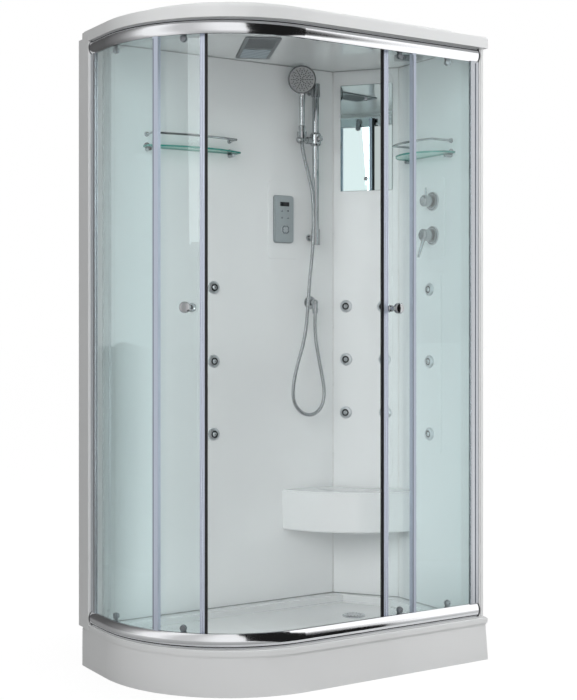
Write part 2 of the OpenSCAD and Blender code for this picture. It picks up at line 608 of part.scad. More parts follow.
// length along the fine points, and the point at a length
seg = [for (i = [0:nf - 2]) norm(fine[i + 1] - fine[i])];
function run(i, s) = i == nf - 1 ? [s] : concat([s], run(i + 1, s + seg[i]));
cum = run(0, 0);
hose_len = cum[nf - 1];
function find(s, a, b) = b - a < 2 ? a : let (m = floor((a + b) / 2)) cum[m] <= s ? find(s, m, b) : find(s, a, m);
function at(s) = let (i = find(min(s, hose_len - 0.001), 0, nf - 1)) fine[i] + (fine[i + 1] - fine[i]) * (s - cum[i]) / seg[i];
function unit(v) = v / norm(v);
function tan_at(s) = unit(at(min(hose_len, s + 6)) - at(max(0, s - 6)));
sides = 8;
// the route stays near one upright plane, so the ring's sideways axis is taken from Y
function ring(s, r) = let (c = at(s), t = tan_at(s), b = unit(cross(t, [0, 1, 0])), n = cross(b, t))
  [for (k = [0:sides - 1]) c + r * (cos(360 * k / sides) * b + sin(360 * k / sides) * n)];
module shower_hose() color("silver") {
  plain = hose_d;
  pitch = (hose_len - 2 * plain) / hose_ribs;
  outer_s = concat([0, plain * 0.98], [for (i = [0:hose_ribs - 1], k = [0.25, 0.75]) plain + (i + k) * pitch],
    [hose_len - plain * 0.98, hose_len]);
  outer_r = concat([1, 1] * hose_d * 0.46, [for (i = [0:hose_ribs - 1], k = [0.5, 0.43]) k * hose_d],
    [1, 1] * hose_d * 0.46);
  bore_n = 90;
  bore_s = [for (i = [0:bore_n]) hose_len * i / bore_n];
  no = len(outer_s);
  pts = concat([for (i = [0:no - 1]) each ring(outer_s[i], outer_r[i])], [for (s = bore_s) each ring(s, hose_d * 0.3)]);
  bo = no * sides;
  bn = bo + bore_n * sides;
  faces = concat(
    [for (i = [0:no - 2], k = [0:sides - 1]) let (a = i * sides + k, b = i * sides + (k + 1) % sides)
      each [[a, b, b + sides], [a, b + sides, a + sides]]],
    [for (i = [0:bore_n - 1], k = [0:sides - 1]) let (a = bo + i * sides + k, b = bo + i * sides + (k + 1) % sides)
      each [[b, a, a + sides], [b, a + sides, b + sides]]],
    [for (k = [0:sides - 1]) let (k2 = (k + 1) % sides)
      each [[k2, k, bo + k], [k2, bo + k, bo + k2]]],
    [for (k = [0:sides - 1]) let (k2 = (k + 1) % sides, a = bo - sides)
      each [[a + k, a + k2, bn + k2], [a + k, bn + k2, bn + k]]]);
  polyhedron(points = pts, faces = faces, convexity = 10);
}

// body jets
module jet() difference() {
  union() {
    rotate_extrude() polygon([[0, 0], [jet_r, 0], [jet_r, 3], [jet_r - 2.5, 7], [14, 9.5], [13, 7], [0, 7]]);
    translate([0, 0, -16]) cylinder(h = 17, r = 13.8);
    translate([0, 0, 4]) sphere(r = 9);
  }
  translate([0, 0, 2]) cylinder(h = 30, r = 3.2);
}
module body_jets() color("silver") {
  for (j = jets_back) on_back(j[0], j[1]) translate([0, 0, 3]) jet();
  for (j = jets_corner) on_corner(j[0], j[1]) translate([0, 0, 3]) jet();
  for (j = jets_right) on_right(j[0], j[1]) translate([0, 0, 3]) jet();
}

// control panel with its buttons
cp = [198, 1530];
button_at = [[-12, 30], [14, 30], [-12, 4], [14, 4]];
module control_panel_case() color("gray") on_back(cp[0], cp[1]) translate([0, 0, 3]) difference() {
  union() {
    linear_extrude(10) rr(81, 172, 9);
    translate([0, 0, 10 - e]) linear_extrude(3) rr(75, 166, 7);
  }
  // display window and sockets of the keys
  translate([0.5, 55, 12]) linear_extrude(3) rr(40, 16, 1.5);
  for (p = button_at) translate([p[0], p[1], 5]) cylinder(h = 20, r = 5.3);
  translate([3, -39, 5]) cylinder(h = 20, r = 19.4);
  translate([0, 0, -1]) linear_extrude(4) rr(73, 164, 6);
}
module key(i) color("white") on_back(cp[0] + button_at[i][0], cp[1] + button_at[i][1]) translate([0, 0, 10]) {
  cylinder(h = 7, r = 5);
  translate([0, 0, 7 - e]) cylinder(h = 0.8, r1 = 5, r2 = 4);
}
module power_button() key(0);
module light_button() key(1);
module fan_button() key(2);
module radio_button() key(3);
module menu_pad() color("silver") on_back(cp[0] + 3, cp[1] - 39) translate([0, 0, 10]) difference() {
  union() {
    cylinder(h = 7, r = 19);
    translate([0, 0, 7 - e]) cylinder(h = 1.5, r1 = 19, r2 = 17);
    cylinder(h = 10, r = 6);
  }
  for (i = [0:3]) rotate([0, 0, 45 + 90 * i]) translate([7, -0.8, 7]) cube([14, 1.6, 5]);
}

// mixer and diverter on the right wall
mix_y = -72;
div_z = 1583;
mix_z = 1461;
module mixer_valve() color("silver") {
  for (z = [div_z, mix_z]) on_right(mix_y, z) translate([0, 0, 3]) {
    difference() {
      union() {
        rotate_extrude() polygon([[0, 0], [34, 0], [34, 2], [31, 5], [18, 7], [0, 7]]);
        translate([0, 0, -16]) cylinder(h = 20, r = 19.5);
        cylinder(h = 17, r = 15);
      }
      translate([0, 0, 9]) cylinder(h = 20, r = 8.06);
    }
  }
  // cast bodies behind the panel, the pipe between them and the tails for hot and cold water
  for (z = [div_z, mix_z]) translate([wall_x + 4.5, mix_y - 26, z - 20]) cube([13, 52, 40]);
  translate([wall_x + 11.1, mix_y, mix_z]) cylinder(h = div_z - mix_z, r = 6);
  for (y = [-18, 18]) translate([wall_x + 11.1, mix_y + y, mix_z - 60]) cylinder(h = 50, r = 6);
}
module diverter_knob() color("silver") on_right(mix_y, div_z) {
  translate([0, 0, 12.5]) cylinder(h = 10, r = 8);
  translate([0, 0, 21]) cylinder(h = 26, r1 = 21, r2 = 19);
  translate([0, 0, 47 - e]) cylinder(h = 4, r1 = 19, r2 = 14);
  translate([0, 12, 34]) rotate([-90, 0, 0]) cylinder(h = 36, r1 = 4.5, r2 = 3.2);
}
module mixer_lever() color("silver") on_right(mix_y, mix_z) {
  translate([0, 0, 12.5]) cylinder(h = 10, r = 8);
  translate([0, 0, 21]) cylinder(h = 30, r = 21);
  translate([0, 0, 51 - e]) cylinder(h = 5, r1 = 21, r2 = 15);
  translate([0, -14, 44]) rotate([70, 0, 0]) cylinder(h = 70, r1 = 6.5, r2 = 4);
}

// right door: flat, runs along the straight of the rails
rx = right_open_x;
right_rollers = [rx + 76, rx + 277];
rknob_x = rx + 39;
module right_door_glass() color("lightcyan", 0.5) difference() {
  translate([rx + 12, front_y + door_u, rim_z + 5]) cube([right_door_w - 12, glass_t, roof_z - rim_z - 10]);
  for (x = right_rollers, z = [wheel_low, wheel_high]) on_front(x, door_u + 10, z) cylinder(h = 20, r = 6.3);
  for (x = right_rollers, z = [wheel_low + 32, wheel_high - 32]) on_front(x, door_u + 10, z) cylinder(h = 20, r = 4.3);
  on_front(rknob_x, door_u + 10, knob_z) cylinder(h = 20, r = 5.3);
}
module right_door_profile() color("lightsteelblue") difference() {
  translate([rx + 8, front_y + door_u - 3, rim_z + 11]) cube([18, glass_t + 6, roof_z - rim_z - 22]);
  translate([rx + 12, front_y + door_u, rim_z]) cube([20, glass_t, roof_z - rim_z]);
}
module right_door_seal() color("black") translate([rx, 0, rim_z + 11]) {
  translate([3, front_y + door_u - 3, 0]) cube([5, glass_t + 6, roof_z - rim_z - 22]);
  translate([0, front_y + door_u - 1, 0]) cube([3 + e, glass_t + 2, roof_z - rim_z - 22]);
}
// knob: a turned chrome stud outside, a smaller one inside, screwed together through the glass
module knob(gap = 0) {
  rotate_extrude() polygon([[0, 0], [11, 0], [11, 3], [8, 5], [7, 9], [7, 30], [11, 34], [17.5, 37],
    [17.5, 48], [15, 52], [8, 53.5], [0, 54]]);
  translate([0, 0, -glass_t - gap - e]) cylinder(h = glass_t + gap + 2 * e, r = 5);
  translate([0, 0, -glass_t - gap]) mirror([0, 0, 1]) rotate_extrude() polygon([[0, 0], [11, 0], [11, 3], [8, 5],
    [8, 10], [14, 13], [14, 20], [11, 22.5], [0, 23]]);
}
module right_door_knob() color("silver") on_front(rknob_x, door_u, knob_z) knob();
// roller bracket: axle through the glass with a head in front of the wheel and a cap inside,
// and the adjusting boss that shows beside the rail; s is +1 below and -1 above
module bracket(s, gap = 0) {
  // axle and bush
  translate([0, 0, -glass_t - 3]) cylinder(h = glass_t + 3 + e, r = 6);
  cylinder(h = 1.5, r = 9);
  cylinder(h = 11, r = 3);
  translate([0, 0, 10.2]) cylinder(h = 1.3, r = 5);
  // inner plate with the adjusting cap
  translate([0, 0, -glass_t - gap - 3]) {
    translate([-9, s > 0 ? 0 : -32, 0]) cube([18, 32, 3]);
    cylinder(h = 3, r = 9);
    translate([0, s * 32, 0]) cylinder(h = 3, r = 11);
    translate([0, s * 32, -6]) cylinder(h = 6 + e, r1 = 8, r2 = 10);
    translate([0, s * 32, 0]) cylinder(h = 3 + gap + glass_t + 3, r = 4);
    translate([0, s * 32, 3 + gap + glass_t + 0.2]) cylinder(h = 3, r = 10);
  }
}
module right_door_brackets() color("gray")
  for (x = right_rollers) {
    on_front(x, door_u, wheel_low) bracket(1);
    on_front(x, door_u, wheel_high) bracket(-1);
  }
// wheel with a groove that rides on the rail's fin
groove_r = 9.6;
module wheel() rotate_extrude() polygon([[3.05, 0], [5, 0], [5, 0.6], [wheel_r, 0.6], [wheel_r, 2],
  [groove_r, 2.6], [groove_r, 5.4], [wheel_r, 6], [wheel_r, 7.4], [5, 7.4], [5, 8], [3.05, 8]]);
module rwheel(i, z) color("dimgray") on_front(right_rollers[i], door_u - 2, z) wheel();
module right_wheel_top_front() rwheel(0, wheel_high);
module right_wheel_top_back() rwheel(1, wheel_high);
module right_wheel_low_front() rwheel(0, wheel_low);
module right_wheel_low_back() rwheel(1, wheel_low);

// left door: bent glass that turns about the curve's upright centre line
la = left_open_a;
left_rollers = [la - 10.4, la - 49.4];
lknob_a = la - 7.6;
module left_door_glass() color("lightcyan", 0.5) difference() {
  sector(door_u, door_u + glass_t, la - left_door_a, la - 1.6, rim_z + 5, roof_z - 5);
  for (a = left_rollers, z = [wheel_low, wheel_high]) on_arc(a, door_u + 10, z) cylinder(h = 20, r = 6.3);
  for (a = left_rollers, z = [wheel_low + 32, wheel_high - 32]) on_arc(a, door_u + 10, z) cylinder(h = 20, r = 4.3);
  on_arc(lknob_a, door_u + 10, knob_z) cylinder(h = 20, r = 5.3);
}
module left_door_profile() color("lightsteelblue") difference() {
  sector(door_u - 3, door_u + glass_t + 3, la - 3.1, la - 1.1, rim_z + 11, roof_z - 11);
  sector(door_u, door_u + glass_t, la - 6, la - 1.6, rim_z, roof_z);
}
module left_door_seal() color("black") {
  sector(door_u - 3, door_u + glass_t + 3, la - 1.1, la - 0.4, rim_z + 11, roof_z - 11);
  sector(door_u - 1, door_u + glass_t + 1, la - 0.41, la, rim_z + 11, roof_z - 11);
}
module left_door_knob() color("silver") on_arc(lknob_a, door_u, knob_z) knob(0.3);
module left_door_brackets() color("gray")
  for (a = left_rollers) {
    on_arc(a, door_u, wheel_low) bracket(1, 0.3);
    on_arc(a, door_u, wheel_high) bracket(-1, 0.3);
  }
module lwheel(i, z) color("dimgray") on_arc(left_rollers[i], door_u - 2, z) wheel();
module left_wheel_top_front() lwheel(0, wheel_high);
module left_wheel_top_back() lwheel(1, wheel_high);
module left_wheel_low_front() lwheel(0, wheel_low);
module left_wheel_low_back() lwheel(1, wheel_low);

shower_tray();
tray_feet();
drain_trap();
drain_cover();
back_wall_panel();
corner_panel();
right_wall_panel();
roof_canopy();
extractor_grille();
fan_impeller();
ceiling_light_lens();
speaker_grille();
bottom_rail();
top_rail();
rail_end_caps();
wall_profiles();
left_fixed_glass();
right_fixed_glass();
fixed_glass_strips();
corner_seat();
wall_mirror();
shelf_glasses();
shelf_rails();
riser_rail();
riser_brackets();
riser_slider();
slider_clamp_knob();
handset_holder();
hand_shower();
spray_plate();
shower_hose();
wall_elbow();
body_jets();
control_panel_case();
power_button();
light_button();
fan_button();
radio_button();
menu_pad();
mixer_valve();
mixer_lever();
diverter_knob();
right_door_glass();
right_door_profile();
right_door_seal();
right_door_knob();
right_door_brackets();
left_door_glass();
left_door_profile();
left_door_seal();
left_door_knob();
left_door_brackets();
right_wheel_top_front();
right_wheel_top_back();
right_wheel_low_front();
right_wheel_low_back();
left_wheel_top_front();
left_wheel_top_back();
left_wheel_low_front();
left_wheel_low_back();
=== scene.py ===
import math

import bmesh
import bpy
from mathutils import Matrix, Vector


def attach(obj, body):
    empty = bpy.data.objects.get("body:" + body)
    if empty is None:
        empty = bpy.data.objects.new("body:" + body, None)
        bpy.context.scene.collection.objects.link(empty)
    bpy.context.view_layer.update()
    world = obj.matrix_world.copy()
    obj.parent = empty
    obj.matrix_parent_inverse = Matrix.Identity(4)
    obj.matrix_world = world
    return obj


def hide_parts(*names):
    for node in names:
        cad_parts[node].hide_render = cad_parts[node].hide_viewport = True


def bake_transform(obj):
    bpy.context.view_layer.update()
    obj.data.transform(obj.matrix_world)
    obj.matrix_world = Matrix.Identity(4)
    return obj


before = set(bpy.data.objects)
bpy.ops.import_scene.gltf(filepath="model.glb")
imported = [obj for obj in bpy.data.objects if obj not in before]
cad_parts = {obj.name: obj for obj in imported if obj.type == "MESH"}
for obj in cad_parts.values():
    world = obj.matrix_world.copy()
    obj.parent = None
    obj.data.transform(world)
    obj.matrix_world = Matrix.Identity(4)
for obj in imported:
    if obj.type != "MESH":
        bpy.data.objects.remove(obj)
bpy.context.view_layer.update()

# View. The cabin is seen from its rounded front corner by a level camera at chest height, about
# 4.4 m away, so its upright edges stay upright in the picture.
eye = bpy.data.cameras.new("eye")
eye.lens = 66.46
eye.shift_y = -0.0361
eye.clip_end = 60
eye_stand = bpy.data.objects.new("eye", eye)
eye_stand.location = (-2.3306, -3.7125, 1.1413)
eye_stand.rotation_euler = (math.radians(90), 0, math.radians(-32.3))
bpy.context.scene.collection.objects.link(eye_stand)
bpy.context.scene.camera = eye_stand
bpy.context.scene.view_settings.view_transform = "Standard"


# Softboxes. Five lamps behind white cloth stand round the cabin: left, right, low in front,
# behind and above. Polished faces don't mirror them, because the studio air holds what they see.
def softbox(name, place, aim, size, watts):
    lamp = bpy.data.lights.new(name, "AREA")
    lamp.shape, lamp.size, lamp.size_y, lamp.energy = "RECTANGLE", size[0], size[1], watts
    stand = bpy.data.objects.new(name, lamp)
    stand.location = place
    stand.rotation_euler = (Vector(aim) - Vector(place)).to_track_quat("-Z", "Y").to_euler()
    stand.visible_glossy = False
    bpy.context.scene.collection.objects.link(stand)


softbox("key_softbox", (-3.6, -2.6, 2.9), (0, 0, 1.2), (2.2, 2.6), 82)
softbox("side_softbox", (3.4, -1.8, 2.6), (0.2, 0, 1.3), (1.8, 2.4), 88)
softbox("low_softbox", (-1.2, -4.0, 0.45), (0, 0, 1.9), (3.2, 1.0), 30)
softbox("back_softbox", (0.6, 4.4, 2.6), (0, 0, 1.1), (3.0, 2.4), 70)
softbox("top_softbox", (0, -0.3, 4.6), (0, 0, 2.1), (2.0, 1.6), 60)


# Studio air. The background is white for the camera and a soft grey light for matt faces.
# Polished faces mirror a studio that is white at the left and the far right, dark at the back,
# with a black doorway in front.
class Wire:
    """A shader socket. Sums, products and comparisons of wires add Math nodes."""

    def __init__(self, bench, socket):
        self.bench, self.socket = bench, socket

    def maths(self, operation, other, first=True):
        pair = (self, other) if first else (other, self)
        return self.bench.node("Math", {"operation": operation}, {0: pair[0], 1: pair[1]})

    def beside(self, out):
        """Another output of the same node."""
        return Wire(self.bench, self.socket.node.outputs[out])

    def __add__(self, other): return self.maths("ADD", other)
    def __radd__(self, other): return self.maths("ADD", other, False)
    def __sub__(self, other): return self.maths("SUBTRACT", other)
    def __rsub__(self, other): return self.maths("SUBTRACT", other, False)
    def __mul__(self, other): return self.maths("MULTIPLY", other)
    def __rmul__(self, other): return self.maths("MULTIPLY", other, False)
    def __truediv__(self, other): return self.maths("DIVIDE", other)
    def __pow__(self, other): return self.maths("POWER", other)
    def __gt__(self, other): return self.maths("GREATER_THAN", other)
    def __lt__(self, other): return self.maths("LESS_THAN", other)


class Bench:
    """A node tree. node() adds a node of any kind and gives back one output as a wire."""

    def __init__(self, tree):
        self.tree = tree

    def node(self, kind, settings=None, sockets=None, out=0):
        made = self.tree.nodes.new("ShaderNode" + kind)
        for key, value in (settings or {}).items():
            if key == "stops":
                ramp = made.color_ramp
                while len(ramp.elements) < len(value):
                    ramp.elements.new(1.0)
                for element, (place, colour) in zip(ramp.elements, value):
                    element.position, element.color = place, (*colour, 1)
            else:
                setattr(made, key, value)
        for key, value in (sockets or {}).items():
            self.feed(made.inputs[key], value)
        return Wire(self, made.outputs[out])

    def feed(self, socket, value):
        if isinstance(value, Wire):
            self.tree.links.new(value.socket, socket)
        else:
            socket.default_value = value


matt_air = 0.18
bounce_lift = 0.4
room_greys = [
    (0.0, 0.08), (0.07, 0.10), (0.134, 0.22), (0.171, 0.42), (0.206, 0.95), (0.245, 1.0),
    (0.293, 0.62), (0.33, 0.62), (0.381, 0.95), (0.447, 1.0), (0.455, 0.012), (0.593, 0.012),
    (0.596, 0.8), (0.606, 1.3), (0.70, 1.15), (0.85, 0.30), (1.0, 0.10)]
room_stops = [(share, (grey,) * 3) for share, grey in room_greys]
sky = bpy.data.worlds.new("studio")
bpy.context.scene.world = sky
sky.use_nodes = True
air = Bench(sky.node_tree)
lens_ray = air.node("LightPath", out="Is Camera Ray")
through_ray = air.node("LightPath", out="Is Transmission Ray")
gloss_ray = air.node("LightPath", out="Is Glossy Ray") * (1.0 - through_ray)
ray_x = air.node("SeparateXYZ", {}, {0: air.node("TexCoord", out="Generated")}, "X")
ray_turn = ray_x.maths("ARCTAN2", ray_x.beside("Y") * -1.0) / (2 * math.pi) + 0.5
room = air.node("ValToRGB", {"stops": room_stops}, {"Fac": ray_turn})
seen = lens_ray.maths("MAXIMUM", through_ray)
bounced = air.node("LightPath", out="Diffuse Depth") > 0.5
mirrored_or_matt = gloss_ray * room + (1.0 - gloss_ray) * matt_air
backdrop = sky.node_tree.nodes["Background"]
backdrop.inputs["Color"].default_value = (1, 1, 1, 1)
air.feed(backdrop.inputs["Strength"],
         seen * (bounced * bounce_lift + 1.0) + (1.0 - seen) * mirrored_or_matt)


# Floor. A white matt sheet under the cabin that runs out to the white background. It takes a
# little shadow near the tray, and polished faces see the studio and its black doorway in it.
class Finish(Bench):
    """A material of one Principled shader. The roughness given is what a map swings about."""

    def __init__(self, name, colour=(0.8, 0.8, 0.8), roughness=0.5, metal=0.0, **fixed):
        self.material = bpy.data.materials.new(name)
        self.material.use_nodes = True
        super().__init__(self.material.node_tree)
        self.shader = self.tree.nodes["Principled BSDF"]
        self.shader.inputs["Base Color"].default_value = (*colour, 1)
        self.shader.inputs["Roughness"].default_value = roughness
        self.shader.inputs["Metallic"].default_value = metal
        for key, value in fixed.items():
            self.shader.inputs[key.replace("_", " ")].default_value = value

    def set(self, **wires):
        for key, wire in wires.items():
            self.feed(self.shader.inputs[key.replace("_", " ")], wire)
        return self

    def noise(self, scale, detail=2.0, stretch=(1, 1, 1)):
        spot = self.node("Mapping", {}, {
            "Vector": self.node("TexCoord", out="Object"), "Scale": stretch})
        return self.node("TexNoise", {}, {"Vector": spot, "Scale": scale, "Detail": detail})

    def worn(self, scale, swing, least, detail=2.0, stretch=(1, 1, 1)):
        """Roughness that wanders from least up by swing, as on a wiped or handled surface."""
        return self.set(Roughness=self.noise(scale, detail, stretch) * swing + least)

    def mix(self, share, one, other):
        return self.node("Mix", {"data_type": "RGBA"}, {0: share, 6: one, 7: other}, 2)

    def bump(self, height, strength, distance=0.001):
        return self.node("Bump", {}, {
            "Height": height, "Strength": strength, "Distance": distance})

    def body(self):
        return Wire(self, self.shader.outputs[0])

    def surface(self, wire):
        self.feed(self.tree.nodes["Material Output"].inputs["Surface"], wire)

    def dress(self, *pieces):
        for piece in pieces:
            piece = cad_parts[piece] if isinstance(piece, str) else piece
            piece.data.materials.clear()
            piece.data.materials.append(self.material)
        return self


floor_reach = 60
doorway_from, doorway_to = -0.31, 0.60
fade_from, fade_run = 0.6, 1.8
doorway_black = 0.012
near_glow, near_share, fade_step = 1.30, 0.70, 0.18
floor_mesh = bpy.data.meshes.new("floor")
floor_mesh.from_pydata([(-floor_reach, -floor_reach, 0), (floor_reach, -floor_reach, 0),
                        (floor_reach, floor_reach, 0), (-floor_reach, floor_reach, 0)],
                       [], [(0, 1, 2, 3)])
floor = bpy.data.objects.new("floor", floor_mesh)
bpy.context.scene.collection.objects.link(floor)
ground = Finish("white_floor", (0.40, 0.40, 0.40), 0.7).dress(floor)
spot_x = ground.node("SeparateXYZ", {}, {0: ground.node("TexCoord", out="Object")}, "X")
spot_y = spot_x.beside("Y")
bearing = spot_x.maths("ARCTAN2", spot_y * -1.0)
in_doorway = (bearing > doorway_from) * (bearing < doorway_to)
far = ((spot_x * spot_x + spot_y * spot_y) ** 0.5 - fade_from) / fade_run
far = far.maths("MINIMUM", 1.0).maths("MAXIMUM", 0.0)
mirrored = ground.node("LightPath", out="Is Glossy Ray")
direct = ground.node("LightPath", out="Is Camera Ray")
around = ground.node("ValToRGB", {"stops": room_stops}, {"Fac": bearing / (2 * math.pi) + 0.5})
glow = ground.node("Emission", {}, {
    "Strength": direct * (near_glow - far * fade_step) + mirrored * around})
black_glow = ground.node("Emission", {}, {"Strength": doorway_black})
white_sheet = ground.node("MixShader", {}, {
    0: direct * (far * fade_step + near_share) + mirrored * far, 1: ground.body(), 2: glow})
ground.surface(ground.node("MixShader", {}, {
    0: mirrored * in_doorway, 1: white_sheet, 2: black_glow}))

# Shower tray, walls, roof and corner seat. Sheets of white acrylic backed with resin, drawn
# over moulds, so their gloss has a soft ripple and their edges are round.
acrylic = Finish("white_acrylic", (0.83, 0.84, 0.845), 0.16, Coat_Weight=0.35, Coat_Roughness=0.04)
sheen_map = acrylic.noise(3.0, 3.0)
fine_map = acrylic.noise(60.0, 2.0)
acrylic.set(
    Base_Color=acrylic.mix(sheen_map, (0.80, 0.81, 0.815, 1), (0.86, 0.87, 0.87, 1)),
    Roughness=sheen_map * 0.10 + fine_map * 0.04 + 0.08,
    Normal=acrylic.bump(sheen_map + fine_map * 0.02, 0.25, 0.002))
acrylic.dress("shower_tray", "back_wall_panel", "corner_panel", "right_wall_panel",
              "roof_canopy", "corner_seat")

# Seams. Grey silicone is drawn along the foot and the head of the wall panels, and white
# silicone up both edges of the corner panel, each smoothed with a finger into a round bead.
back_y, right_x = 0.330, 0.582
left_end, front_end = -0.594, -0.312
bend_x, bend_y = 0.4235, 0.1305
wall_foot, wall_head = 0.131, 2.096


def drawn_tube(name, route, radius_at, step, sides):
    """A round tube along the route, with closed ends. Its length comes back beside it."""
    runs = [0.0]
    for a, b in zip(route, route[1:]):
        runs.append(runs[-1] + (b - a).length)
    whole = runs[-1]
    rings = max(2, round(whole / step))
    verts, side, i = [], None, 0
    for r in range(rings + 1):
        s = whole * r / rings
        while i < len(runs) - 2 and runs[i + 1] < s:
            i += 1
        share = (s - runs[i]) / (runs[i + 1] - runs[i])
        spot = route[i].lerp(route[i + 1], share)
        along = (route[min(i + 2, len(route) - 1)] - route[max(i - 1, 0)]).normalized()
        if side is None:
            side = along.orthogonal()
        side = (side - along * side.dot(along)).normalized()
        up = along.cross(side)
        radius = radius_at(s, whole)
        for k in range(sides):
            a = 2 * math.pi * k / sides
            verts.append(spot + (side * math.cos(a) + up * math.sin(a)) * radius)
    faces = []
    for r in range(rings):
        here, there = r * sides, (r + 1) * sides
        for k in range(sides):
            k_next = (k + 1) % sides
            faces.append((here + k, here + k_next, there + k_next, there + k))
    faces.append(tuple(range(sides))[::-1])
    faces.append(tuple(range(rings * sides, (rings + 1) * sides)))
    mesh = bpy.data.meshes.new(name)
    mesh.from_pydata(verts, [], faces)
    mesh.shade_smooth()
    tube = bpy.data.objects.new(name, mesh)
    bpy.context.scene.collection.objects.link(tube)
    return tube, whole


def cabin_bead(name, route, finish, radius, step=0.05, sides=10):
    bead, _ = drawn_tube(name, route, lambda s, whole: radius, step, sides)
    finish.dress(bead)
    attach(bead, "cabin")


def wall_line(z, inset):
    return [Vector((x, y, z)) for x, y in (
        (left_end, back_y - inset), (bend_x - inset / 2, back_y - inset),
        (right_x - inset, bend_y - inset / 2), (right_x - inset, front_end))]


seam_grey = Finish("grey_silicone", (0.36, 0.37, 0.37), 0.4).worn(60, 0.2, 0.3)
for name, z in (("tray_seam", wall_foot - 0.0008), ("roof_seam", wall_head + 0.0008)):
    seam_line = wall_line(z, inset=0.0012)
    cabin_bead(name, seam_line, seam_grey, radius=0.0016, step=0.02)
seam_white = Finish("white_silicone", (0.74, 0.74, 0.73), 0.3).worn(60, 0.2, 0.2)
for name, x, y in (("left_corner_bead", 0.4236, 0.3292), ("right_corner_bead", 0.5812, 0.1306)):
    upright_line = [Vector((x, y, wall_foot)), Vector((x, y, wall_head))]
    cabin_bead(name, upright_line, seam_white, radius=0.0022, sides=12)

# Tray feet. Steel screw feet with moulded plastic pads carry the tray, and are turned until it
# stands level.
pad_plastic = Finish("foot_plastic", (0.05, 0.05, 0.055), 0.5).worn(90, 0.3, 0.35)
pad_plastic.set(Normal=pad_plastic.bump(pad_plastic.noise(500), 0.2)).dress("tray_feet")

# Drain trap and cover. The trap and its outlet are a grey moulding, screwed up to the tray from
# below. The cover is pressed steel, chromed, and lifts off the trap for cleaning.
pipe_plastic = Finish("pipe_plastic", (0.72, 0.72, 0.71), 0.35).worn(40, 0.2, 0.25)
pipe_plastic.set(Base_Color=pipe_plastic.mix(
    pipe_plastic.noise(12), (0.68, 0.68, 0.67, 1), (0.76, 0.76, 0.75, 1))).dress("drain_trap")
Finish("cover_steel", (0.62, 0.63, 0.65), 0.2, 1.0).worn(35, 0.16, 0.16).dress("drain_cover")

# Rails. Extruded aluminium, polished, with fine lines along the draw. Each rail is rolled round
# the cabin's corner in one piece and screwed to the wall profiles.
rail_metal = Finish("polished_rail", (0.86, 0.87, 0.89), 0.1, 1.0)
draw_lines = rail_metal.noise(1.0, 3.0, (6, 6, 900))
rail_metal.set(Roughness=draw_lines * 0.10 + 0.06,
               Normal=rail_metal.bump(draw_lines, 0.05, 0.0004))
rail_metal.dress("bottom_rail", "top_rail")

# Glass edge strips. Extruded aluminium, anodised in a cool grey and drawn upright, pushed over
# the free edges of the doors and of the fixed panes.
up_the_strip = (700, 700, 3)
strip_metal = Finish("anodised_strip", (0.60, 0.65, 0.77), 0.28, 0.6)
strip_lines = strip_metal.noise(1.0, 3.0, up_the_strip)
strip_metal.set(Roughness=strip_lines * 0.14 + 0.20,
                Normal=strip_metal.bump(strip_lines, 0.06, 0.0004))
strip_metal.dress("right_door_profile", "left_door_profile")
clip_strip = Finish("clip_strip", (0.52, 0.57, 0.67), 0.3, 0.6)
clip_strip.worn(1.0, 0.14, 0.24, 3.0, up_the_strip).dress("fixed_glass_strips")

# Strip shade lines. Dark lines of painted shade beside the fixed panes' strips and the right wall
# profile, drawn as thin near-black tubes from foot to head.
curve_x, curve_y, curve_radius = -0.128, 0.140, 0.460
shade_line_foot, shade_line_head = 0.191, 2.034
shade_line_turn = math.radians(-151.6)
painted_edge_shade = Finish("strip_edge_shade", (0.05, 0.07, 0.10), 0.4).worn(1.0, 0.2, 0.3, 2.0, (300, 300, 4))
for name, x, y in (("right_strip_shade_line", 0.3012, -0.3200), ("profile_shade_line", 0.5680, -0.3225),
                   ("left_strip_shade_line", curve_x + curve_radius * math.cos(shade_line_turn),
                    curve_y + curve_radius * math.sin(shade_line_turn))):
    upright_line = [Vector((x, y, shade_line_foot)), Vector((x, y, shade_line_head))]
    cabin_bead(name, upright_line, painted_edge_shade, radius=0.0018)

# Wall profiles and rail end caps. The profiles are grooved aluminium, screwed to the walls, and
# take the fixed panes. Black plastic caps close the ends of the rails.
profile_metal = Finish("wall_profile", (0.60, 0.63, 0.66), 0.25, 0.8)
# Painted shade and highlight: the colour runs in upright dark and light bands, dark as shade in the
# profiles' grooves and light as highlight between them.
groove_shade_and_highlight_map = profile_metal.noise(1.0, 2.0, (260, 260, 0.6))
profile_metal.set(
    Roughness=groove_shade_and_highlight_map * 0.2 + 0.12,
    Base_Color=profile_metal.mix(groove_shade_and_highlight_map, (0.20, 0.22, 0.24, 1), (0.78, 0.80, 0.84, 1)))
profile_metal.dress("wall_profiles")
Finish("cap_plastic", (0.05, 0.05, 0.055), 0.35).worn(120, 0.2, 0.25).dress("rail_end_caps")

# Doors and fixed panes. Toughened glass of 5 mm, faintly green, flat at the right and bent at
# the left. It lets the lamps' light through with a light tint.
ripple = 0.01
pane = Finish("green_pane", (0.925, 0.99, 0.995), 0.0, Transmission_Weight=1.0, IOR=1.45)
pane.set(Roughness=pane.noise(2.0) * ripple)
light_tint = pane.node("BsdfTransparent", {}, {"Color": (0.89, 0.905, 0.90, 1)})
pane.surface(pane.node("MixShader", {}, {
    0: pane.node("LightPath", out="Is Shadow Ray"), 1: pane.body(), 2: light_tint}))
pane.dress("left_fixed_glass", "right_fixed_glass", "right_door_glass", "left_door_glass")

# Door seals. Black magnetic rubber, pushed into the doors' edge strips, which holds the two
# doors together when they meet.
seal_rubber = Finish("seal_rubber", (0.012, 0.012, 0.014), 0.45).worn(150, 0.2, 0.35)
seal_rubber.set(Normal=seal_rubber.bump(seal_rubber.noise(700), 0.15))
seal_rubber.dress("right_door_seal", "left_door_seal")

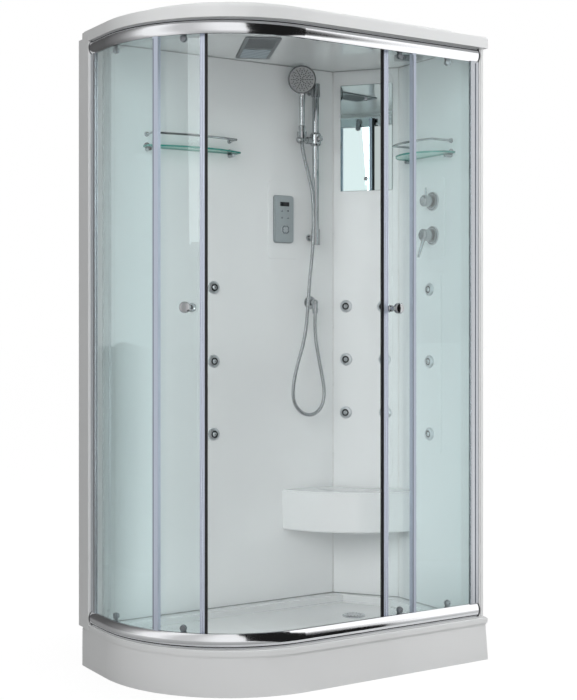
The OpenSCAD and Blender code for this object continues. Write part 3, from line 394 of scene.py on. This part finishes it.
# Door knobs. Turned brass, chromed, in pairs that are screwed together through the glass.
# The same chrome goes on the shelf rails and on all the shower's castings.
chrome = Finish("chrome", (0.43, 0.44, 0.45), 0.06, 1.0).worn(28, 0.07, 0.025, 3.0)
chrome.dress("right_door_knob", "left_door_knob")

# Roller brackets and wheels. Die-cast brackets are bolted through the doors' glass, and turned
# nylon wheels on their axles ride on the rails' fins.
bracket_metal = Finish("bracket_metal", (0.28, 0.30, 0.32), 0.25, 0.9).worn(140, 0.2, 0.2)
bracket_metal.dress("right_door_brackets", "left_door_brackets")
nylon = Finish("wheel_nylon", (0.62, 0.62, 0.60), 0.4).worn(200, 0.2, 0.3)
nylon.set(Base_Color=nylon.mix(nylon.noise(80), (0.56, 0.56, 0.54, 1), (0.68, 0.68, 0.66, 1)))
nylon.dress(*[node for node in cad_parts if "_wheel_" in node])

# Mirror. Silvered glass with a ground edge, held on the corner panel by two chromed screws,
# each under a turned cap.
back_wall = (0.0, back_y, 0.0)
corner_wall = (0.424, back_y, math.atan2(-0.199, 0.158))
right_wall = (right_x, 0.0, -math.pi / 2)
mirror_along, mirror_z = 0.132, 1.842
mirror_half_w, mirror_half_h = 0.099, 0.198
mirror_front = 0.0068
upper_screw, lower_screw = 0.145, -0.154


def on_wall(wall, along, z, out=0.0):
    """A place on a wall's face, with x along the wall, y up and z out of it."""
    start_x, start_y, turn = wall
    foot = (start_x + along * math.cos(turn), start_y + along * math.sin(turn), z)
    return (Matrix.Translation(foot) @ Matrix.Rotation(turn, 4, "Z")
            @ Matrix.Rotation(math.pi / 2, 4, "X") @ Matrix.Translation((0, 0, out)))


def formed(name, shape, body, finish):
    verts, faces = shape
    mesh = bpy.data.meshes.new(name)
    mesh.from_pydata(verts, [], faces)
    built = bmesh.new()
    built.from_mesh(mesh)
    bmesh.ops.remove_doubles(built, verts=built.verts, dist=1e-6)
    bmesh.ops.recalc_face_normals(built, faces=built.faces)
    built.to_mesh(mesh)
    built.free()
    mesh.shade_smooth()
    mesh.set_sharp_from_angle(angle=math.radians(35))
    piece = bpy.data.objects.new(name, mesh)
    bpy.context.scene.collection.objects.link(piece)
    finish.dress(piece)
    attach(piece, body)


def turned(stands, outline, sides=24):
    """An outline of (radius, height) points turned on a lathe, once on each stand."""
    verts, faces, n = [], [], len(outline)
    for stand in stands:
        start = len(verts)
        for k in range(sides):
            a = 2 * math.pi * k / sides
            verts += [stand @ Vector((r * math.cos(a), r * math.sin(a), h)) for r, h in outline]
        for k in range(sides):
            here, there = start + k * n, start + (k + 1) % sides * n
            faces += [(here + i, there + i, there + i + 1, here + i + 1) for i in range(n - 1)]
    return verts, faces


silvering = Finish("silvering", (0.80, 0.90, 0.895), 0.0, 1.0)
silvering.set(Roughness=silvering.noise(6) * 0.012).dress("wall_mirror")
mirror_stand = on_wall(corner_wall, mirror_along, mirror_z)
mirror_corners = [(-1, -1), (1, -1), (1, 1), (-1, 1), (-1, -1)]
edge_route = [mirror_stand @ Vector((sx * mirror_half_w, sy * mirror_half_h, mirror_front))
              for sx, sy in mirror_corners]
edge_glass = Finish("edge_glass", (0.10, 0.16, 0.16), 0.15, Coat_Weight=0.4).worn(60, 0.1, 0.1)
cabin_bead("mirror_edge", edge_route, edge_glass,
           radius=0.0012, step=0.004, sides=8)
screw_stands = [mirror_stand @ Matrix.Translation((0, up, 0)) for up in (upper_screw, lower_screw)]
cap_outline = [(0.0, 0.0126), (0.0040, 0.0122), (0.0066, 0.0108),
               (0.0080, 0.0086), (0.0080, 0.0079), (0.0, 0.0079)]
formed("mirror_caps", turned(screw_stands, cap_outline), "cabin", chrome)

# Shelves. Two bowed glass shelves, clear on top and deep green at their cut edges, each with a
# chromed gallery rail in clamps that are screwed to the wall.
shelf_pane = Finish("shelf_pane", (0.70, 0.93, 0.87), 0.02, IOR=1.5)
lean = shelf_pane.node("SeparateXYZ", {}, {0: shelf_pane.node("NewGeometry", out="Normal")}, "Z")
edge_lean, clear_share = 0.6, 0.72
cut_edge = lean.maths("ABSOLUTE", 0) < edge_lean
shelf_pane.set(
    Base_Color=shelf_pane.mix(cut_edge, (0.66, 0.90, 0.84, 1), (0.02, 0.24, 0.20, 1)),
    Roughness=shelf_pane.noise(12) * 0.03 + 0.01)
clear_glass = shelf_pane.node("BsdfTransparent", {}, {"Color": (0.80, 0.95, 0.91, 1)})
shelf_pane.surface(shelf_pane.node("MixShader", {}, {
    0: (1.0 - cut_edge) * clear_share, 1: shelf_pane.body(), 2: clear_glass}))
shelf_pane.dress("shelf_glasses")
chrome.dress("shelf_rails")

# Riser, slider, holder, handset and wall elbow. A chromed brass tube in two brackets, chromed
# castings that slide and tilt on it, and a hollow handset of chromed plastic.
chrome.dress("riser_rail", "riser_brackets", "riser_slider", "slider_clamp_knob",
             "handset_holder", "hand_shower", "wall_elbow")

# Spray face and nozzles. The face is a grey plastic plate, snapped into the head. Its dark
# silicone domes stand in rings and can be rubbed clean of lime.
handset_foot, handset_turn, handset_lean = (0.255, 0.285, 1.832), -32, 5
head_centre, head_tilt = (0, -0.004, 0.210), 99
face_front = 0.0141
nozzle_rings = ((0.0065, 5), (0.013, 6), (0.0195, 15), (0.026, 12), (0.0325, 24), (0.039, 18))
face_plastic = Finish("spray_face", (0.36, 0.365, 0.37), 0.4).worn(160, 0.2, 0.25)
face_plastic.dress("spray_plate")
handset = (Matrix.Translation(handset_foot)
           @ Matrix.Rotation(math.radians(handset_turn), 4, "Z")
           @ Matrix.Rotation(math.radians(handset_lean), 4, "X"))
spray_head = (handset @ Matrix.Translation(head_centre)
              @ Matrix.Rotation(math.radians(head_tilt), 4, "X"))
nozzle_stands = [spray_head @ Matrix.Translation((0, 0, face_front))]
for reach, count in nozzle_rings:
    for k in range(count):
        a = 2 * math.pi * k / count
        nozzle_stands.append(spray_head @ Matrix.Translation(
            (reach * math.cos(a), reach * math.sin(a), face_front)))
# Dark silicone of the nozzles; the same dark also paints shade into the jets' gaps and the valves'
# grooves.
nozzle_rubber_and_groove_shade = Finish("nozzle_rubber_and_groove_shade", (0.015, 0.015, 0.016), 0.5).worn(400, 0.2, 0.4)
nozzle_outline = [(0.0, 0.0022), (0.0010, 0.0021), (0.0018, 0.0016),
                  (0.0023, 0.0006), (0.0023, -0.0002), (0.0, -0.0002)]
formed("spray_nozzles", turned(nozzle_stands, nozzle_outline, sides=12),
       "hand_shower", nozzle_rubber_and_groove_shade)

# Face ring. A ring of dark chromed plastic round the spray face, pressed on over the edge of
# the head.
rim_chrome = Finish("rim_chrome", (0.13, 0.135, 0.14), 0.12, 1.0).worn(80, 0.10, 0.10)
ring_outline = [(0.0456, 0.0140), (0.0458, 0.0154), (0.0490, 0.0157), (0.0509, 0.0147),
                (0.0515, 0.0120), (0.0514, 0.0085), (0.0506, 0.0084)]
formed("face_ring", turned([spray_head], ring_outline, sides=64),
       "hand_shower", rim_chrome)

# Hand shower hose. A steel hose of 14 mm, wound in ribs, hangs from the wall elbow in a deep
# loop and climbs past the riser to the handset's nut.
hose_d = 0.014
hose_ribs = 190
hose_step = 0.0017
hose_end, hose_core, hose_swell = 0.46, 0.465, 0.035
hose_points = [
    (0.318, 0.292, 1.189), (0.318, 0.292, 1.170), (0.316, 0.290, 1.140), (0.318, 0.286, 1.080),
    (0.329, 0.282, 1.010), (0.340, 0.278, 0.950), (0.346, 0.275, 0.905), (0.343, 0.272, 0.868),
    (0.330, 0.269, 0.838), (0.308, 0.267, 0.818), (0.280, 0.265, 0.810), (0.249, 0.264, 0.816),
    (0.222, 0.263, 0.836), (0.205, 0.262, 0.866), (0.202, 0.261, 0.904), (0.208, 0.260, 0.949),
    (0.222, 0.259, 1.003), (0.240, 0.258, 1.060), (0.254, 0.258, 1.120), (0.262, 0.259, 1.180),
    (0.268, 0.260, 1.240), (0.274, 0.261, 1.310), (0.282, 0.262, 1.370), (0.288, 0.262, 1.430),
    (0.291, 0.262, 1.490), (0.291, 0.262, 1.545), (0.2895, 0.263, 1.595), (0.284, 0.264, 1.642),
    (0.273, 0.268, 1.693), (0.262, 0.275, 1.745), (0.2565, 0.282, 1.786), (0.2553, 0.285, 1.808),
    (0.25546, 0.28574, 1.822)]


def smooth_route(points, steps):
    """A Catmull-Rom curve through the points."""
    route = []
    ends = [points[0]] + list(points) + [points[-1]]
    for i in range(len(points) - 1):
        a, b, c, d = (Vector(p) for p in ends[i:i + 4])
        for k in range(steps):
            t = k / steps
            route.append(0.5 * (2 * b + (c - a) * t + (2 * a - 5 * b + 4 * c - d) * t * t
                                + (3 * b - a - 3 * c + d) * t ** 3))
    return route + [Vector(points[-1])]


def hose_radius(s, whole):
    if s < hose_d or s > whole - hose_d:
        return hose_d * hose_end
    pitch = (whole - 2 * hose_d) / hose_ribs
    return hose_d * (hose_core + hose_swell * math.cos(2 * math.pi * (s - hose_d) / pitch))


hose_route = smooth_route(hose_points, steps=8)
hose, hose_length = drawn_tube("hose", hose_route, hose_radius, hose_step, sides=14)
Finish("hose_steel", (0.42, 0.43, 0.44), 0.16, 1.0).worn(220, 0.14, 0.10).dress(hose)
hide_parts("shower_hose")
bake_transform(hose)

# Body jets. Twelve satin-chromed rosettes with a ball nozzle in each, clipped into the walls
# from the front. A dark ring between the rosette and its ball is painted shade in the gap there.
jet_foot = 0.003
jet_chrome = Finish("jet_chrome", (0.62, 0.64, 0.66), 0.3, 0.85).worn(60, 0.14, 0.26)
jet_chrome.dress("body_jets")
jet_places = [(back_wall, -0.093, z) for z in (1.274, 1.011, 0.751)]
jet_places += [(corner_wall, along, z) for along, z in (
    (0.053, 1.211), (0.053, 1.011), (0.052, 0.811), (0.197, 1.209), (0.202, 1.012), (0.205, 0.814))]
jet_places += [(right_wall, 0.055, z) for z in (1.268, 1.009, 0.749)]
# Painted shade: a dark ring in the gap between each rosette and its ball.
gap_shade_outline = [(0.0080, 0.0066), (0.0080, 0.0076), (0.0100, 0.0080),
                  (0.0125, 0.0077), (0.0130, 0.0066)]
jet_stands = [on_wall(*place, jet_foot) for place in jet_places]
formed("jet_gap_shade", turned(jet_stands, gap_shade_outline, sides=32),
       "cabin", nozzle_rubber_and_groove_shade)

# Mixer and diverter. Chromed brass castings behind turned cover plates on the right wall. Beads
# and grooves are turned on both plates, and two grooves on each handle. The beads carry painted
# highlight, and dark rings in the grooves are painted shade.
valve_along = 0.072
mixer_z, diverter_z = 1.461, 1.583
chrome.dress("mixer_valve", "mixer_lever", "diverter_knob")


def joined(shapes):
    """Several shapes as one."""
    verts, faces = [], []
    for more_verts, more_faces in shapes:
        faces += [tuple(i + len(verts) for i in face) for face in more_faces]
        verts += more_verts
    return verts, faces


def valve_rings(name, heights, rings, body, finish):
    """Round rings of (reach, height, thickness) about each valve's axis."""
    shapes = []
    for z in heights:
        for reach, height, thick in rings:
            section = [(reach + thick * math.cos(math.radians(a)),
                        height + thick * math.sin(math.radians(a))) for a in range(0, 361, 40)]
            shapes.append(turned([on_wall(right_wall, valve_along, z)], section, sides=48))
    formed(name, joined(shapes), body, finish)


# Painted highlight: the beads are a brighter copy of the plates' chrome.
bead_highlight_chrome = Finish("bead_highlight_chrome", (0.85, 0.86, 0.87), 0.05, 1.0).worn(60, 0.06, 0.03)
valve_rings("plate_beads", (mixer_z, diverter_z),
            [(0.0328, 0.0062, 0.0016), (0.0255, 0.0087, 0.0013)],
            "cabin", bead_highlight_chrome)
# Painted shade: dark rings in the plates' and handles' grooves stand in for the shade inside them.
valve_rings("plate_groove_shade", (mixer_z, diverter_z),
            [(0.0292, 0.0081, 0.0011), (0.0222, 0.0093, 0.0011), (0.0165, 0.0104, 0.0020)],
            "cabin", nozzle_rubber_and_groove_shade)
valve_rings("mixer_groove_shade", (mixer_z,),
            [(0.0207, 0.0225, 0.0009), (0.0207, 0.0465, 0.0008)],
            "mixer_lever", nozzle_rubber_and_groove_shade)
valve_rings("diverter_groove_shade", (diverter_z,),
            [(0.0207, 0.0225, 0.0009), (0.0190, 0.0435, 0.0008)],
            "diverter_knob", nozzle_rubber_and_groove_shade)

# Control panel. A case moulded in silver plastic, screwed to the back wall, with four small
# keys and a round pad that push in. A thin metal rim runs round the case at the wall.
panel_x, panel_z = 0.198, 1.530
rim_w, rim_h, rim_corner, rim_out = 0.0822, 0.1732, 0.0094, 0.0045
panel_silver = Finish("panel_silver", (0.38, 0.415, 0.43), 0.35, 0.3).worn(300, 0.15, 0.28)
panel_silver.dress("control_panel_case")
key_silver = Finish("key_silver", (0.43, 0.465, 0.48), 0.3, 0.2).worn(300, 0.15, 0.22)
key_silver.dress("power_button", "light_button", "fan_button", "radio_button", "menu_pad")


def round_corners(width, height, radius, steps=6):
    points = []
    for k, (sx, sy) in enumerate(((1, 1), (-1, 1), (-1, -1), (1, -1))):
        for i in range(steps + 1):
            a = math.pi / 2 * (k + i / steps)
            points.append((sx * (width / 2 - radius) + radius * math.cos(a),
                           sy * (height / 2 - radius) + radius * math.sin(a)))
    return points


rim_stand = on_wall(back_wall, panel_x, panel_z, rim_out)
rim_route = [rim_stand @ Vector((x, y, 0)) for x, y in round_corners(rim_w, rim_h, rim_corner)]
cabin_bead("panel_rim", rim_route + rim_route[:1], bracket_metal,
           radius=0.0011, step=0.003, sides=8)


# Display window. Black glass, cut with round corners and glued into the case above the keys.
# Its edge is ground off all round.
window_x, window_z, window_out = 0.1985, 1.585, 0.0150
window_w, window_h, window_corner = 0.0394, 0.0154, 0.0014


def cut_plate(stand, outline, thick, edge):
    """A plate of the outline, its front edge ground off by edge."""
    n, verts = len(outline), []
    for shrink, h in ((0, 0), (0, thick - edge), (edge, thick)):
        for x, y in outline:
            reach = math.hypot(x, y) or 1
            verts.append(stand @ Vector((x - x / reach * shrink, y - y / reach * shrink, h)))
    faces = [(r * n + i, r * n + (i + 1) % n, (r + 1) * n + (i + 1) % n, (r + 1) * n + i)
             for r in range(2) for i in range(n)]
    return verts, faces + [tuple(range(n))[::-1], tuple(range(2 * n, 3 * n))]


window_glass = Finish("window_glass", (0.006, 0.007, 0.009), 0.05, Coat_Weight=0.5)
window_glass.worn(30, 0.04, 0.04)
window_stand = on_wall(back_wall, window_x, window_z, window_out)
window_outline = round_corners(window_w, window_h, window_corner)
formed("display_window", cut_plate(window_stand, window_outline, thick=0.0010, edge=0.0002),
       "cabin", window_glass)

# Key marks. Plain bars and dots, printed on the faces of the four keys in dark ink: each is
# given by its place on the key, its width and its height.
key_face = 0.0178
ink_thick, ink_edge = 0.0002, 0.00005
mark_ink = Finish("mark_ink", (0.02, 0.035, 0.05), 0.4).worn(200, 0.2, 0.3)
for key, dx, dz, marks in (
        ("power_button", -0.012, 0.030, [(0, 0, 0.0018, 0.0072), (0, -0.0020, 0.0064, 0.0018)]),
        ("light_button", 0.014, 0.030, [(0, 0.0004, 0.0056, 0.0056)]),
        ("fan_button", -0.012, 0.004, [(-0.0020, 0, 0.0018, 0.0064), (0.0020, 0, 0.0018, 0.0064)]),
        ("radio_button", 0.014, 0.004, [(0, -0.0012, 0.0070, 0.0020), (0, 0.0020, 0.0036, 0.0018)])):
    mark_parts = []
    for mx, mz, width, height in marks:
        stand = on_wall(back_wall, panel_x + dx + mx, panel_z + dz + mz, key_face)
        outline = round_corners(width, height, min(width, height) * 0.3, steps=3)
        mark_parts.append(cut_plate(stand, outline, ink_thick, ink_edge))
    formed(key.replace("button", "mark"), joined(mark_parts), key, mark_ink)

# Pad arcs. Four arcs and four short ticks, printed in the same ink round the pad, so that a
# thumb finds its four sides.
pad_x, pad_z, pad_face = 0.201, 1.491, 0.0185
arc_outer, arc_inner, tick_reach = 0.0155, 0.0125, 0.0115
arc_start, arc_span, arc_steps = 14, 62, 12
tick_long, tick_short, tick_corner, arc_edge = 0.0070, 0.0020, 0.0006, 0.00002
pad_stand = on_wall(back_wall, pad_x, pad_z, pad_face)
pad_parts = []
for k in range(4):
    sweep = [math.radians(90 * k + arc_start + arc_span * i / arc_steps)
             for i in range(arc_steps + 1)]
    arc = [(arc_outer * math.cos(a), arc_outer * math.sin(a)) for a in sweep]
    arc += [(arc_inner * math.cos(a), arc_inner * math.sin(a)) for a in reversed(sweep)]
    pad_parts.append(cut_plate(pad_stand, arc, ink_thick, arc_edge))
    a = math.pi / 2 * k
    tick_stand = pad_stand @ Matrix.Translation(
        (tick_reach * math.cos(a), tick_reach * math.sin(a), 0))
    width, height = (tick_long, tick_short) if k % 2 == 0 else (tick_short, tick_long)
    tick = round_corners(width, height, tick_corner, steps=3)
    pad_parts.append(cut_plate(tick_stand, tick, ink_thick, arc_edge))
formed("pad_arcs", joined(pad_parts), "menu_pad", mark_ink)

# Ceiling grilles and fan. Grey moulded grilles clipped into the roof, over the extractor and
# over the loudspeaker. The fan behind the first is black plastic on its motor's shaft.
grille_grey = Finish("grille_grey", (0.24, 0.255, 0.265), 0.4, 0.3).worn(150, 0.2, 0.35)
grille_grey.dress("extractor_grille", "speaker_grille")
Finish("fan_black", (0.02, 0.02, 0.022), 0.4).worn(100, 0.2, 0.3).dress("fan_impeller")

# Ceiling light. A lens of frosted plastic with moulded waves, clipped in beside the extractor's
# grille.
lens_white = Finish("frosted_lens", (0.40, 0.46, 0.50), 0.35).worn(200, 0.2, 0.3)
lens_spot = lens_white.node("Mapping", {}, {"Vector": lens_white.node("TexCoord", out="Object")})
wave_relief_and_shade = lens_white.node("TexWave", {"bands_direction": "Y"}, {
    "Vector": lens_spot, "Scale": 14.0, "Distortion": 1.5}, "Fac")
# Painted shade and light: the colour follows the waves, darker in their troughs and lighter on their
# crests.
lens_white.set(
    Normal=lens_white.bump(wave_relief_and_shade, 0.5, 0.003),
    Base_Color=lens_white.mix(wave_relief_and_shade, (0.26, 0.32, 0.37, 1), (0.50, 0.56, 0.60, 1)))
lens_white.dress("ceiling_light_lens")
